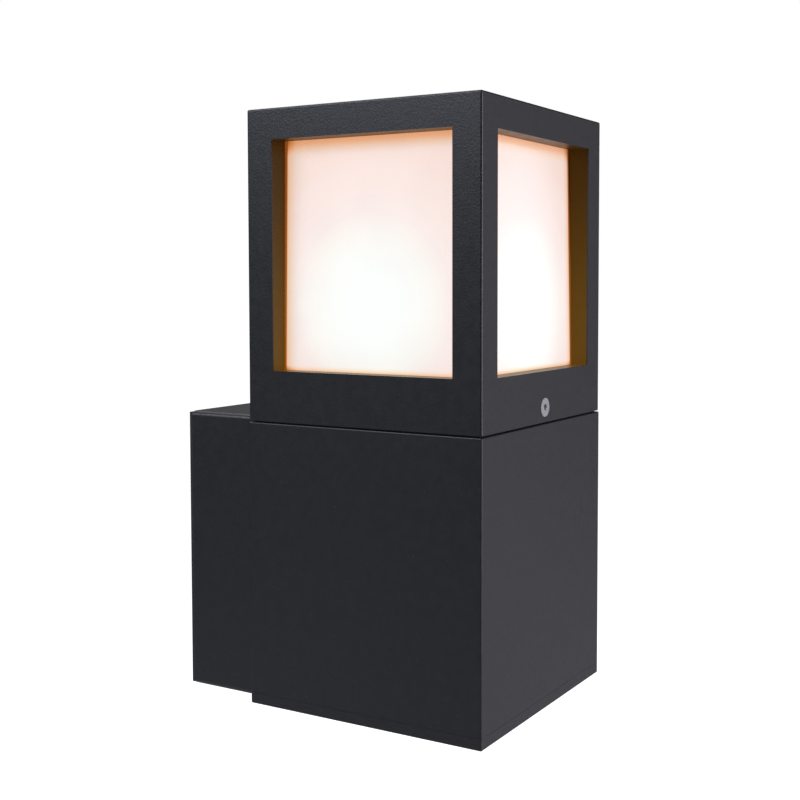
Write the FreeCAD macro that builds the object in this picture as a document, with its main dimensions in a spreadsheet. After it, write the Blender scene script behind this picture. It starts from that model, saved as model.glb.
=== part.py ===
import FreeCAD, Part
import math
import os
import re

import Sketcher
from FreeCAD import Placement, Rotation, Vector

# Outdoor wall lantern, in millimetres.
# The wall is the plane y = 0 and the lantern's front faces -Y. The origin is the centre of the wall
# face: x = 0 is the plane of symmetry and z = 0 is half the height of the body box. +Z is up.
# Every sub-part is one object of this document, bound to the sheet "size", with its own Label.

DIMENSIONS = {
    # allowances: how far a cut reaches past a face, and the gaps between sub-parts
    "past": 1,
    "hair": 0.02,
    "close_play": 0.05,
    "play": 0.1,
    "wide_play": 0.2,
    "blind": 2,
    # overall shape
    "head_width": 110,
    "head_height": 128.2,
    "body_width": 110.4,
    "body_height": 119,
    "seam_gap": 0.5,
    "wall_box_width": 95.4,
    "wall_reach": 39.4,
    "box_rise": 1.9,
    # head frame
    "head_wall": 7.4,
    "cavity_draft": 0.8,
    "roof_thickness": 4,
    "head_edge": 0.8,
    "seam_edge": 0.3,
    "stile": 12.6,
    "top_rail": 12.8,
    "bottom_rail": 21.1,
    "flange_rebate_width": 101.2,
    "flange_rebate_depth": 4,
    "tab_recess_width": 34,
    "tab_recess_depth": 5,
    "tab_recess_height": 12.6,
    # head screws, M4 countersunk, with the tabs and plates that they clamp
    "screw_height": 6.2,
    "screw_radius": 2,
    "screw_head_radius": 3.9,
    "screw_head_height": 1.9,
    "screw_length": 7.1,
    "screw_sink": 0.1,
    "screw_socket": 1.25,
    "screw_socket_depth": 1.3,
    "screw_hole": 2.2,
    "sink_radius": 4.1,
    "thread_hole": 2.05,
    "screw_tip": 0.3,
    "tab_inner": 4,
    "tab_width": 8,
    "tab_outer": 52.2,
    "tab_thickness": 2,
    "tab_height": 11.5,
    "tab_foot": 3,
    "tab_corner": 1.5,
    "clamp_width": 28,
    "clamp_height": 10,
    "clamp_outer": 50,
    "clamp_thickness": 2.1,
    # diffuser and its clips
    "diffuser_base": 94.6,
    "diffuser_top": 90,
    "diffuser_height": 119.6,
    "diffuser_wall": 2.5,
    "diffuser_lift": 1,
    "diffuser_corner": 3,
    "flange_width": 100.4,
    "flange_thickness": 2.8,
    "flange_notch": 35,
    "clip_leg": 14,
    "clip_outer": 53.3,
    "clip_inner": 47.9,
    "clip_thickness": 0.9,
    "clip_pocket": 1,
    "clip_play": 0.2,
    "clip_screw": 51.6,
    "small_screw": 1,
    "small_head": 1.8,
    "small_sink": 0.6,
    "small_length": 7,
    "sink_entry": 0.5,
    # body box
    "body_wall": 4,
    "deck": 4,
    "body_edge": 0.6,
    "land_width": 106.4,
    "lamp_hole": 22,
    "seal_outer": 94.4,
    "seal_inner": 87,
    "seal_groove": 1.2,
    "seal_play": 0.05,
    "boss_radius": 5,
    "boss_centre": 46.4,
    "boss_height": 22,
    # bottom cover
    "cover": 4.8,
    "cover_gap": 0.08,
    "cover_seal_outer": 108,
    "cover_seal_inner": 104.6,
    "cover_seal_depth": 1.2,
    "cover_screw_length": 16,
    # wall box and the joint between it and the body
    "box_wall": 3,
    "box_front": 3.5,
    "box_edge": 2.2,
    "box_front_edge": 0.8,
    "wall_seal": 2,
    "wall_seal_width": 3.4,
    "wall_seal_inset": 0.6,
    "joint_seal": 1,
    "joint_inset": 2,
    "joint_screw": 33,
    "joint_boss": 4.6,
    "joint_boss_height": 5,
    "joint_screw_length": 14,
    "pan_head": 3.8,
    "pan_height": 2.6,
    "pan_screw_tip": 0.5,
    "gasket_hole_play": 0.3,
    "lead_hole": 7.5,
    "lead_height": -26,
    "lead_grommet_wall": 2,
    "lead_grommet_lip": 2,
    "lead_grommet_chamfer": 1,
    # wall bracket
    "plate_width": 84,
    "plate_height": 106,
    "plate": 2,
    "flange_reach": 18,
    "hook_lip": 2.6,
    "hook_rib": 6,
    "hook_x": 25,
    "hook_gap": 2.2,
    "bracket_screw_y": 9,
    "bracket_screw_length": 11,
    "slot_spacing": 60,
    "slot_length": 12,
    "slot_radius": 2.6,
    "entry_height": 35,
    "entry_hole": 9,
    "entry_bore": 4.5,
    "entry_lip": 2.5,
    "entry_chamfer": 1,
    "entry_step": 2,
    "entry_nose": 1.5,
    # terminal block
    "block_width": 30,
    "block_height": 18,
    "block_depth": 15,
    "block_level": 4,
    "block_slope": 4,
    "block_shoulder": 3,
    "pole_pitch": 9,
    "insert_width": 5.6,
    "insert_length": 15,
    "pole_depth": 7.6,
    "lead_entry": 1.6,
    "clamp_screw": 1.5,
    "clamp_screw_head": 2.2,
    "clamp_well": 2.5,
    "clamp_pitch": 8,
    "clamp_rise": 0.3,
    "clamp_head_height": 2,
    "driver_slot": 0.35,
    "driver_depth": 0.9,
    "fixing_screw": 1.4,
    "fixing_head": 2.3,
    "fixing_head_height": 1.6,
    "fixing_head_edge": 0.6,
    # leads and earthing
    "lead_radius": 1.2,
    "lead_spread": 3.1,
    "nipple_spread": 1.75,
    "earth_boss": 5,
    "earth_boss_height": 4,
    "earth_front": -96,
    "earth_screw_end": 2,
    "ring_radius": 4,
    "ring_plate": 0.8,
    "barrel_near": 3.4,
    "barrel_far": 6.6,
    "barrel_half": 1.6,
    # where the leads turn
    "lead_start": 5,
    "lead_drop": 8,
    "lead_behind": 13,
    "lead_before": 12,
    "lead_rise": 1,
    "lead_in_holder": 3,
    "earth_before": 10,
    "earth_turn_x": 20,
    "earth_turn": 22,
    "earth_side": 4,
    "earth_bend": 29,
    "earth_end": 7,
    "earth_lead_gap": 1.5,
    # lampholder, heights measured from the body's top
    "strip": 1.5,
    "strip_width": 34,
    "strip_span": 23,
    "strip_floor": -54,
    "strip_flange": 40,
    "strip_screw": 33,
    "strip_screw_end": 1.5,
    "nipple_radius": 4.9,
    "nipple_bore": 3.7,
    "nipple_hole": 5,
    "nipple_bottom": -59,
    "nipple_top": -46,
    "nut_flat": 7,
    "nut_height": 3.4,
    "holder_bottom": -52.5,
    "holder_split": -38,
    "holder_top": -2,
    "holder_radius": 19.5,
    "holder_wall": 2.4,
    "holder_foot": 5,
    "holder_foot_inside": 4,
    "holder_cone": 9,
    "holder_cone_inside": 10,
    "holder_floor": 2.6,
    "sleeve_edge": 1,
    "sleeve_lip": 4,
    "sleeve_slope": 7,
    "core_radius": 16.9,
    "core_top": -29.5,
    "core_entry": 4.5,
    "shell_radius": 14.2,
    "shell_bore": 13.6,
    "shell_top": -3.5,
    "contact_top": -26.8,
    "contact_half": 2.5,
    "contact_foot": 7,
    "contact_heel": 5.6,
    "contact_flat": 2,
    "contact_under": 1.8,
    "contact_tail": 4,
    "contact_strip": 0.5,
    "contact_drop": 0.6,
    # lamp, heights measured from the body's top
    "tip_bottom": -26.7,
    "tip_radius": 3.2,
    "tip_flare": 4.6,
    "insulator_bottom": -25.6,
    "insulator_radius": 6.5,
    "insulator_flare": 10.8,
    "cap_bottom": -21,
    "cap_top": 0.5,
    "cap_radius": 13.1,
    "thread_depth": 0.9,
    "thread_pitch": 3.62,
    "thread_turns": 5,
    "thread_start": 1.2,
    "thread_flank": 0.9,
    "thread_crest": 1,
    "cap_wall": 0.4,
    "neck_radius": 13.6,
    "neck_flare": 0.8,
    "neck_height": 4,
    "waist_flare": 4.6,
    "waist_height": 14,
    "shoulder_flare": 9.4,
    "shoulder_height": 24,
    "globe_radius": 30,
    "globe_wall": 1.4,
    "globe_centre": 47.4,
    "globe_seat": 33,
    "seat_outside": 3.6,
    "seat_inside": 6,
    "seat_depth": 1.5,
    "board_radius": 22,
    "board": 1.6,
    "chip_count": 8,
    "chip_circle": 15,
    "chip_half": 1.4,
    "chip_height": 0.7,
}

AXIS_Y = "-(wall_reach + body_width / 2)"
BODY_TOP = "body_height / 2"
HEAD_BOTTOM = "(body_height / 2 + seam_gap)"
JOINT_Y = "-(wall_reach - joint_seal)"
BRACKET_SIDE = "(plate_height / 2)"

# How near a level an edge must lie to count as being on it, and the least volume that a cut takes.
EDGE_REACH = 1e-3
LEAST_CUT = 0.01

doc = FreeCAD.newDocument("wall_lantern")
size = doc.addObject("Spreadsheet::Sheet", "size")
for row, (alias, number) in enumerate(DIMENSIONS.items(), start=1):
    size.set(f"B{row}", str(number))
    size.setAlias(f"B{row}", alias)
doc.recompute()
sub_parts = []


# ---------------------------------------------------------------- drawing and feature helpers

def bound(formula):
    """A formula in sheet aliases, as an expression of the document."""
    return re.sub(r"\b[a-z]\w*\b(?!\()", lambda word: "size." + word.group(0), str(formula))


def value(formula):
    """The number that a formula gives now."""
    return float(size.evalExpression(bound(formula).replace("size.", "")))


def new_body(label, x=0, y=0, z=0):
    """A sub-part with its Placement bound to the sheet."""
    body = doc.addObject("PartDesign::Body", label)
    body.Label = label
    body.AllowCompound = True
    for axis, formula in zip("xyz", (x, y, z)):
        body.setExpression("Placement.Base." + axis, bound(formula))
    sub_parts.append(body)
    return body


def origin_of(body, role):
    """One of the body's own origin planes or axes."""
    return next(item for item in body.Origin.OriginFeatures if item.Role == role)


def new_sketch(body, plane, level=0, rise=0, across=0):
    """A sketch on an origin plane, moved along its normal, up and across."""
    sketch = body.newObject("Sketcher::SketchObject", body.Name + "_sketch")
    sketch.AttachmentSupport = (origin_of(body, plane), [""])
    sketch.MapMode = "FlatFace"
    sketch.setExpression("AttachmentOffset.Base.x", bound(across))
    sketch.setExpression("AttachmentOffset.Base.y", bound(rise))
    sketch.setExpression("AttachmentOffset.Base.z", bound(level))
    return sketch


def pin(sketch, geometry, point, x, y):
    """Holds a point of the sketch at two formulas."""
    for kind, formula in (("DistanceX", x), ("DistanceY", y)):
        index = sketch.addConstraint(Sketcher.Constraint(kind, geometry, point, value(formula)))
        sketch.setExpression(f"Constraints[{index}]", bound(formula))


def outline(sketch, corners):
    """A closed outline of straight lines through corners given as formulas."""
    first = sketch.GeometryCount
    spots = [Vector(value(x), value(y), 0) for x, y in corners]
    for number, spot in enumerate(spots):
        sketch.addGeometry(Part.LineSegment(spot, spots[(number + 1) % len(spots)]))
    for number, (x, y) in enumerate(corners):
        after = first + (number + 1) % len(spots)
        sketch.addConstraint(Sketcher.Constraint("Coincident", first + number, 2, after, 1))
        pin(sketch, first + number, 1, x, y)
    return sketch


def rectangle(sketch, left, bottom, right, top):
    return outline(sketch, [(left, bottom), (right, bottom), (right, top), (left, top)])


def square(sketch, width):
    half = f"{width} / 2"
    return rectangle(sketch, f"-{half}", f"-{half}", half, half)


def circle(sketch, radius, x=0, y=0):
    index = sketch.addGeometry(Part.Circle(Vector(value(x), value(y), 0), Vector(0, 0, 1), value(radius)))
    pin(sketch, index, 3, x, y)
    bind = sketch.addConstraint(Sketcher.Constraint("Radius", index, value(radius)))
    sketch.setExpression(f"Constraints[{bind}]", bound(radius))
    return sketch


def four(sketch, radius, x, y=None):
    """Four circles at the corners of a rectangle."""
    y = x if y is None else y
    for side_x, side_y in ((x, y), (f"-{x}", y), (f"-{x}", f"-{y}"), (x, f"-{y}")):
        circle(sketch, radius, side_x, side_y)
    return sketch


def slot(sketch, length, radius, x, y):
    """A straight slot along the sketch's first axis."""
    first = sketch.GeometryCount
    reach = f"({length} / 2 - {radius})"
    ends = [Vector(value(f"{x} + {side} * {reach}"), value(y), 0) for side in (1, -1)]
    size_now = value(radius)
    for end, turn in zip(ends, (-math.pi / 2, math.pi / 2)):
        rim = Part.Circle(end, Vector(0, 0, 1), size_now)
        sketch.addGeometry(Part.ArcOfCircle(rim, turn, turn + math.pi))
    for side, (start, stop) in ((1, ends), (-1, ends[::-1])):
        lift = Vector(0, side * size_now, 0)
        sketch.addGeometry(Part.LineSegment(start + lift, stop + lift))
    for one, at_one, two, at_two in ((0, 2, 2, 1), (2, 2, 1, 1), (1, 2, 3, 1), (3, 2, 0, 1)):
        sketch.addConstraint(Sketcher.Constraint("Tangent", first + one, at_one, first + two, at_two))
    pin(sketch, first, 3, f"{x} + {reach}", y)
    index = sketch.addConstraint(
        Sketcher.Constraint("DistanceX", first + 1, 3, value(f"{x} - {reach}")))
    sketch.setExpression(f"Constraints[{index}]", bound(f"{x} - {reach}"))
    index = sketch.addConstraint(Sketcher.Constraint("Radius", first, size_now))
    sketch.setExpression(f"Constraints[{index}]", bound(radius))
    return sketch


def feature(body, kind, sketch):
    made = body.newObject("PartDesign::" + kind, f"{body.Name}_{kind.lower()}")
    made.Profile = sketch
    return made


def pad(sketch, length, back=False):
    """Adds material along the sketch's normal, or against it."""
    made = feature(sketch.getParentGeoFeatureGroup(), "Pad", sketch)
    made.setExpression("Length", bound(length))
    made.Reversed = back
    return made


def cut(body, make):
    """Makes a cutting feature and stops if it takes nothing away."""
    doc.recompute()
    before = body.Shape.Volume
    made = make()
    doc.recompute()
    if not before - body.Shape.Volume > LEAST_CUT:
        raise ValueError(f"{made.Name} cuts nothing")
    return made


def pocket(sketch, length, along=False):
    """Cuts against the sketch's normal, or along it."""
    body = sketch.getParentGeoFeatureGroup()

    def make():
        made = feature(body, "Pocket", sketch)
        made.setExpression("Length", bound(length))
        made.Reversed = along
        return made

    return cut(body, make)


def pocket_through(sketch, length):
    """Cuts both ways from the sketch's plane."""
    body = sketch.getParentGeoFeatureGroup()

    def make():
        made = feature(body, "Pocket", sketch)
        made.setExpression("Length", bound(length))
        made.SideType = "Symmetric"
        return made

    return cut(body, make)


def turn(sketch, axis="V_Axis"):
    """A full turn of the sketch about one of its own axes."""
    made = feature(sketch.getParentGeoFeatureGroup(), "Revolution", sketch)
    made.ReferenceAxis = (sketch, [axis])
    made.Angle = 360
    return made


def turn_away(sketch, axis="V_Axis"):
    """Cuts a full turn of the sketch."""
    body = sketch.getParentGeoFeatureGroup()

    def make():
        made = feature(body, "Groove", sketch)
        made.ReferenceAxis = (sketch, [axis])
        made.Angle = 360
        return made

    return cut(body, make)


def around(body, made, axis, count):
    """Repeats a feature evenly around one of the body's axes."""
    pattern = body.newObject("PartDesign::PolarPattern", body.Name + "_pattern")
    pattern.Originals = [made]
    pattern.Axis = (origin_of(body, axis), [""])
    pattern.Angle = 360
    pattern.Occurrences = count
    body.Tip = pattern
    return pattern


def twice(body, made, axis, distance):
    """Repeats a feature once, a distance back along one of the body's axes."""
    pattern = body.newObject("PartDesign::LinearPattern", body.Name + "_pair")
    pattern.Originals = [made]
    pattern.Direction = (origin_of(body, axis), [""])
    pattern.Reversed = True
    pattern.setExpression("Length", bound(distance))
    pattern.Occurrences = 2
    body.Tip = pattern
    return pattern


def round_edges(body, wanted, radius):
    """Fillets the edges of the body that a test accepts."""
    doc.recompute()
    base = body.Tip
    names = [f"Edge{n}" for n, edge in enumerate(base.Shape.Edges, start=1) if wanted(edge)]
    made = body.newObject("PartDesign::Fillet", body.Name + "_fillet")
    made.Base = (base, names)
    made.setExpression("Radius", bound(radius))
    doc.recompute()
    return made


def runs_along(edge, axis):
    """True for a straight edge parallel with an axis, 0 for X, 1 for Y, 2 for Z."""
    start, end = (vertex.Point for vertex in edge.Vertexes) if len(edge.Vertexes) == 2 else (None, None)
    if start is None:
        return False
    along = end - start
    return abs(abs(along[axis]) - along.Length) < EDGE_REACH


def screw_profile(sketch, head_radius, head_height, radius, length, sink=0):
    """Half section of a countersunk screw whose head is at the top of the sketch's second axis."""
    return outline(sketch, [
        (0, f"-{length}"), (radius, f"-{length}"), (radius, f"-{head_height} - {sink}"),
        (head_radius, f"-{sink}"), (0, f"-{sink}")])


# ---------------------------------------------------------------- head

def make_head_frame():
    body = new_body("head_frame", 0, AXIS_Y, HEAD_BOTTOM)
    pad(square(new_sketch(body, "XY_Plane"), "head_width"), "head_height")
    round_edges(body, lambda edge: edge.BoundBox.ZMax > EDGE_REACH, "head_edge")
    round_edges(body, lambda edge: edge.BoundBox.ZMax < EDGE_REACH, "seam_edge")
    cavity = square(new_sketch(body, "XY_Plane"), "(head_width - 2 * head_wall)")
    hollow = pocket(cavity, "head_height - roof_thickness", along=True)
    hollow.setExpression("TaperAngle", bound("-cavity_draft"))
    rebate = square(new_sketch(body, "XY_Plane"), "flange_rebate_width")
    pocket(rebate, "flange_rebate_depth", along=True)
    for plane in ("XZ_Plane", "YZ_Plane"):
        window = new_sketch(body, plane)
        rectangle(window, "-(head_width / 2 - stile)", "bottom_rail",
                  "head_width / 2 - stile", "head_height - top_rail")
        pocket_through(window, "2 * head_width")
    recess = new_sketch(body, "XY_Plane")
    inner = "(head_width / 2 - head_wall)"
    for side in ("", "-"):
        rectangle(recess, "-tab_recess_width / 2", f"{side}({inner} - sink_entry)",
                  "tab_recess_width / 2", f"{side}({inner} + tab_recess_depth)")
    pocket(recess, "tab_recess_height", along=True)
    shank = circle(new_sketch(body, "XZ_Plane"), "screw_hole", 0, "screw_height")
    pocket_through(shank, "2 * head_width")
    sinks = new_sketch(body, "YZ_Plane", rise="screw_height")
    face = "head_width / 2"
    for side in ("", "-"):
        outline(sinks, [(f"{side}({face} - sink_radius)", 0), (f"{side}({face})", "sink_radius"),
                        (f"{side}({face} + past)", "sink_radius"), (f"{side}({face} + past)", 0)])
    turn_away(sinks, "H_Axis")
    corners = new_sketch(body, "XY_Plane")
    clip_outlines(corners, "clip_play")
    pocket(corners, "clip_pocket", along=True)
    holes = four(new_sketch(body, "XY_Plane"), "small_screw + close_play", "clip_screw")
    pocket(holes, "small_length + blind", along=True)


def clip_outlines(sketch, play):
    """Four L shapes at the corners, larger by a play all round."""
    outer = f"(clip_outer + {play})"
    inner = f"(clip_inner - {play})"
    leg = f"(clip_outer - clip_leg - {play})"
    shape = [(leg, inner), (inner, inner), (inner, leg), (outer, leg), (outer, outer), (leg, outer)]
    for side_x, side_y in (("", ""), ("-", ""), ("-", "-"), ("", "-")):
        outline(sketch, [(side_x + x, side_y + y) for x, y in shape])


def make_diffuser():
    body = new_body("diffuser", 0, AXIS_Y, HEAD_BOTTOM)
    draft = "atan((diffuser_base - diffuser_top) / 2 / diffuser_height)"
    outside = pad(square(new_sketch(body, "XY_Plane", "diffuser_lift"), "diffuser_base"),
                  "diffuser_height")
    outside.setExpression("TaperAngle", bound(f"-{draft}"))
    doc.recompute()
    foot = value("diffuser_lift") + EDGE_REACH
    round_edges(body, lambda edge: edge.BoundBox.ZMax > foot, "diffuser_corner")
    inside = square(new_sketch(body, "XY_Plane", "diffuser_lift"), "(diffuser_base - 2 * diffuser_wall)")
    hollow = pocket(inside, "diffuser_height - diffuser_wall", along=True)
    hollow.setExpression("TaperAngle", bound(f"-{draft}"))
    flange = new_sketch(body, "XY_Plane", "diffuser_lift")
    square(flange, "flange_width")
    square(flange, "(diffuser_base - diffuser_wall)")
    pad(flange, "flange_thickness")
    notches = new_sketch(body, "XY_Plane", "diffuser_lift")
    for side in ("", "-"):
        rectangle(notches, "-flange_notch / 2", f"{side}(diffuser_base / 2)",
                  "flange_notch / 2", f"{side}(flange_width / 2 + past)")
    pocket(notches, "flange_thickness", along=True)


def make_diffuser_clips():
    body = new_body("diffuser_clips", 0, AXIS_Y, HEAD_BOTTOM)
    plates = new_sketch(body, "XY_Plane", "clip_pocket - clip_thickness")
    clip_outlines(plates, "0")
    pad(plates, "clip_thickness")
    pocket(four(new_sketch(body, "XY_Plane"), "small_screw + play", "clip_screw"),
           "clip_thickness + past", along=True)
    doc.recompute()
    sink = new_sketch(body, "XZ_Plane", level="-clip_screw", across="clip_screw")
    low = "(clip_pocket - clip_thickness)"
    outline(sink, [(0, f"{low} - sink_entry"), ("small_head + play", f"{low} - sink_entry"),
                   ("small_head + play", low), ("small_screw + play", f"{low} + small_sink + play"),
                   (0, f"{low} + small_sink + play")])
    around(body, turn_away(sink), "Z_Axis", 4)


def make_clip_screws():
    body = new_body("diffuser_clip_screws", 0, AXIS_Y, HEAD_BOTTOM)
    sketch = new_sketch(body, "XZ_Plane", level="-clip_screw", across="clip_screw")
    low = "(clip_pocket - clip_thickness)"
    outline(sketch, [(0, low), ("small_head", low), ("small_screw", f"{low} + small_sink"),
                     ("small_screw", f"{low} + small_length"), (0, f"{low} + small_length")])
    around(body, turn(sketch), "Z_Axis", 4)


def make_clamp_plates():
    body = new_body("clamp_plates", 0, AXIS_Y, HEAD_BOTTOM)
    sketch = new_sketch(body, "XZ_Plane", level="clamp_outer - clamp_thickness")
    rectangle(sketch, "-clamp_width / 2", "screw_height - clamp_height / 2",
              "clamp_width / 2", "screw_height + clamp_height / 2")
    circle(sketch, "thread_hole", 0, "screw_height")
    around(body, pad(sketch, "clamp_thickness"), "Z_Axis", 2)


def make_head_screw(label, side):
    """One countersunk screw, across the front rail (side 1) or the rear rail (side -1)."""
    body = new_body(label, 0, AXIS_Y, f"{HEAD_BOTTOM} + screw_height")
    sketch = new_sketch(body, "YZ_Plane")
    face = "(head_width / 2 - screw_sink)"
    sign = "-" if side > 0 else ""
    outline(sketch, [
        (f"{sign}({face} - screw_length)", 0),
        (f"{sign}({face} - screw_length)", "screw_radius - screw_tip"),
        (f"{sign}({face} - screw_length + screw_tip)", "screw_radius"),
        (f"{sign}({face} - screw_head_height)", "screw_radius"),
        (f"{sign}({face})", "screw_head_radius"),
        (f"{sign}({face})", 0)])
    turn(sketch, "H_Axis")
    face_level = f"{side} * {face}"
    socket = new_sketch(body, "XZ_Plane", level=face_level)
    across = "screw_socket / cos(30)"
    outline(socket, [(f"{across} * cos({60 * n})", f"{across} * sin({60 * n})") for n in range(6)])
    pocket(socket, "screw_socket_depth", along=side < 0)


# ---------------------------------------------------------------- body

def make_body_box():
    body = new_body("body_box", 0, AXIS_Y, BODY_TOP)
    height = "(body_height - cover - cover_gap)"
    pad(square(new_sketch(body, "XY_Plane", f"-{height}"), "body_width"), height)
    foot = EDGE_REACH - value(height)
    round_edges(body, lambda edge: edge.BoundBox.ZMax > foot, "body_edge")
    pad(square(new_sketch(body, "XY_Plane"), "land_width"), "seam_gap")
    inside = square(new_sketch(body, "XY_Plane", f"-{height}"), "(body_width - 2 * body_wall)")
    pocket(inside, f"{height} - deck", along=True)
    pad(four(new_sketch(body, "XY_Plane", f"-{height}"), "boss_radius", "boss_centre"), "boss_height")
    threads = four(new_sketch(body, "XY_Plane", f"-{height}"), "thread_hole", "boss_centre")
    pocket(threads, "boss_height - blind", along=True)
    pocket(circle(new_sketch(body, "XY_Plane", "seam_gap"), "lamp_hole"), "deck + seam_gap")
    groove = new_sketch(body, "XY_Plane", "seam_gap")
    square(groove, "(seal_outer + 2 * seal_play)")
    square(groove, "(seal_inner - 2 * seal_play)")
    pocket(groove, "seal_groove")
    strip_holes = new_sketch(body, "XY_Plane", "seam_gap")
    for side in ("", "-"):
        circle(strip_holes, "screw_hole", f"{side}strip_screw")
    pocket(strip_holes, "deck + seam_gap")
    strip_sink = new_sketch(body, "XZ_Plane", across="strip_screw")
    outline(strip_sink, [(0, "seam_gap - sink_radius"), ("sink_radius", "seam_gap"),
                         ("sink_radius", "seam_gap + past"), (0, "seam_gap + past")])
    around(body, turn_away(strip_sink), "Z_Axis", 2)
    slots = tab_outlines(new_sketch(body, "XY_Plane", "seam_gap"), "close_play")
    pocket(slots, "tab_foot + close_play")
    rear = new_sketch(body, "XZ_Plane", level="-body_width / 2 - past")
    circle(rear, "lead_hole", 0, f"lead_height - {BODY_TOP}")
    for side_x in ("", "-"):
        for side_z in ("+", "-"):
            circle(rear, "screw_hole", f"{side_x}joint_screw", f"-({BODY_TOP}) {side_z} joint_screw")
    pocket(rear, "body_wall + 2 * past", along=True)
    across = f"earth_front - ({AXIS_Y})"
    level = "body_width / 2 - body_wall"
    rise = f"lead_height - {BODY_TOP}"
    pad(circle(new_sketch(body, "YZ_Plane", level), "earth_boss", across, rise), "earth_boss_height",
        back=True)
    inner_face = new_sketch(body, "YZ_Plane", f"{level} - earth_boss_height")
    pocket(circle(inner_face, "thread_hole", across, rise), "earth_boss_height + blind", along=True)


def tab_outlines(sketch, play):
    """Two pairs of tab sections, front and rear, larger by a play all round."""
    for side_x in ("", "-"):
        for side_y in ("", "-"):
            rectangle(sketch, f"{side_x}(tab_inner - {play})",
                      f"{side_y}(tab_outer - tab_thickness - {play})",
                      f"{side_x}(tab_inner + tab_width + {play})", f"{side_y}(tab_outer + {play})")
    return sketch


def make_head_tabs():
    """Four upright tabs pressed into the deck, a pair each side of either head screw."""
    body = new_body("head_tabs", 0, AXIS_Y, f"{BODY_TOP} + seam_gap")
    pad(tab_outlines(new_sketch(body, "XY_Plane", "-tab_foot"), 0), "tab_foot + tab_height")
    doc.recompute()
    top = value("tab_height") - EDGE_REACH
    round_edges(body, lambda edge: runs_along(edge, 1) and edge.BoundBox.ZMin > top, "tab_corner")


def make_bottom_cover():
    body = new_body("bottom_cover", 0, AXIS_Y, f"-({BODY_TOP})")
    pad(square(new_sketch(body, "XY_Plane"), "body_width"), "cover")
    top = value("cover") - EDGE_REACH
    round_edges(body, lambda edge: edge.BoundBox.ZMin < top, "body_edge")
    groove = new_sketch(body, "XY_Plane", "cover")
    square(groove, "cover_seal_outer")
    square(groove, "cover_seal_inner")
    pocket(groove, "cover_seal_depth")
    pocket(four(new_sketch(body, "XY_Plane", "cover"), "screw_hole", "boss_centre"), "cover")
    sink = new_sketch(body, "XZ_Plane", level="-boss_centre", across="boss_centre")
    outline(sink, [(0, "-past"), ("sink_radius", "-past"), ("sink_radius", 0), (0, "sink_radius")])
    around(body, turn_away(sink), "Z_Axis", 4)


def make_bottom_gasket():
    body = new_body("bottom_gasket", 0, AXIS_Y, f"-({BODY_TOP}) + cover - cover_seal_depth")
    ring = new_sketch(body, "XY_Plane")
    square(ring, "cover_seal_outer")
    square(ring, "cover_seal_inner")
    pad(ring, "cover_seal_depth + cover_gap")


def make_cover_screws():
    body = new_body("bottom_cover_screws", 0, AXIS_Y, f"-({BODY_TOP})")
    sketch = new_sketch(body, "XZ_Plane", level="-boss_centre", across="boss_centre")
    outline(sketch, [(0, "screw_sink"), ("screw_head_radius", "screw_sink"),
                     ("screw_radius", "screw_sink + screw_head_height"),
                     ("screw_radius", "cover_screw_length"), (0, "cover_screw_length")])
    around(body, turn(sketch), "Z_Axis", 4)
    socket = hexagon_sketch(body, "XY_Plane", "screw_sink", "boss_centre", "boss_centre")
    around(body, pocket(socket, "screw_socket_depth", along=True), "Z_Axis", 4)


def hexagon_sketch(body, plane, level, x, y):
    """A hexagon socket's outline, centred away from the sketch's origin."""
    sketch = new_sketch(body, plane, level=level)
    across = "screw_socket / cos(30)"
    return outline(sketch, [(f"{x} + {across} * cos({60 * n})", f"{y} + {across} * sin({60 * n})")
                            for n in range(6)])


def make_diffuser_gasket():
    body = new_body("diffuser_gasket", 0, AXIS_Y, f"{BODY_TOP} + seam_gap - seal_groove")
    ring = new_sketch(body, "XY_Plane")
    square(ring, "seal_outer")
    square(ring, "seal_inner")
    pad(ring, "seal_groove + diffuser_lift - seal_play")


# ---------------------------------------------------------------- wall side

def make_wall_box():
    body = new_body("wall_box", 0, "-wall_seal", 0)
    depth = "(wall_reach - joint_seal - wall_seal)"
    half_width = "(wall_box_width / 2)"
    half_height = "(body_height / 2)"
    shell = new_sketch(body, "XZ_Plane")
    rectangle(shell, f"-{half_width}", f"-{half_height}", half_width, f"{half_height} + box_rise")
    pad(shell, depth)
    round_edges(body, lambda edge: runs_along(edge, 1), "box_edge")
    front = EDGE_REACH - value(depth)
    round_edges(body, lambda edge: edge.BoundBox.YMax < front, "box_front_edge")
    inside = new_sketch(body, "XZ_Plane")
    rectangle(inside, f"-({half_width} - box_wall)", f"-({half_height} - box_wall)",
              f"{half_width} - box_wall", f"{half_height} - box_wall")
    pocket(inside, f"{depth} - box_front", along=True)
    inner = f"{depth} - box_front"
    pad(four(new_sketch(body, "XZ_Plane", inner), "joint_boss", "joint_screw"), "joint_boss_height",
        back=True)
    holes = four(new_sketch(body, "XZ_Plane", depth), "thread_hole", "joint_screw")
    circle(holes, "lead_hole", 0, "lead_height")
    pocket(holes, "box_front + joint_boss_height")
    ribs = new_sketch(body, "XZ_Plane", "plate")
    for side in ("", "-"):
        rectangle(ribs, f"{side}hook_x - hook_rib / 2", f"{BRACKET_SIDE} + play",
                  f"{side}hook_x + hook_rib / 2", f"{half_height} - box_wall")
    pad(ribs, "flange_reach - wall_seal - plate - hook_gap")
    fixing = new_sketch(body, "XY_Plane", f"-{half_height}")
    for side in ("", "-"):
        circle(fixing, "screw_hole", f"{side}hook_x", "-(bracket_screw_y - wall_seal)")
    pocket(fixing, "box_wall", along=True)
    for side in ("", "-"):
        sink = new_sketch(body, "XZ_Plane", level="bracket_screw_y - wall_seal", across=f"{side}hook_x")
        outline(sink, [(0, f"-{half_height} - past"), ("sink_radius", f"-{half_height} - past"),
                       ("sink_radius", f"-{half_height}"), (0, f"-{half_height} + sink_radius")])
        turn_away(sink)


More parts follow.
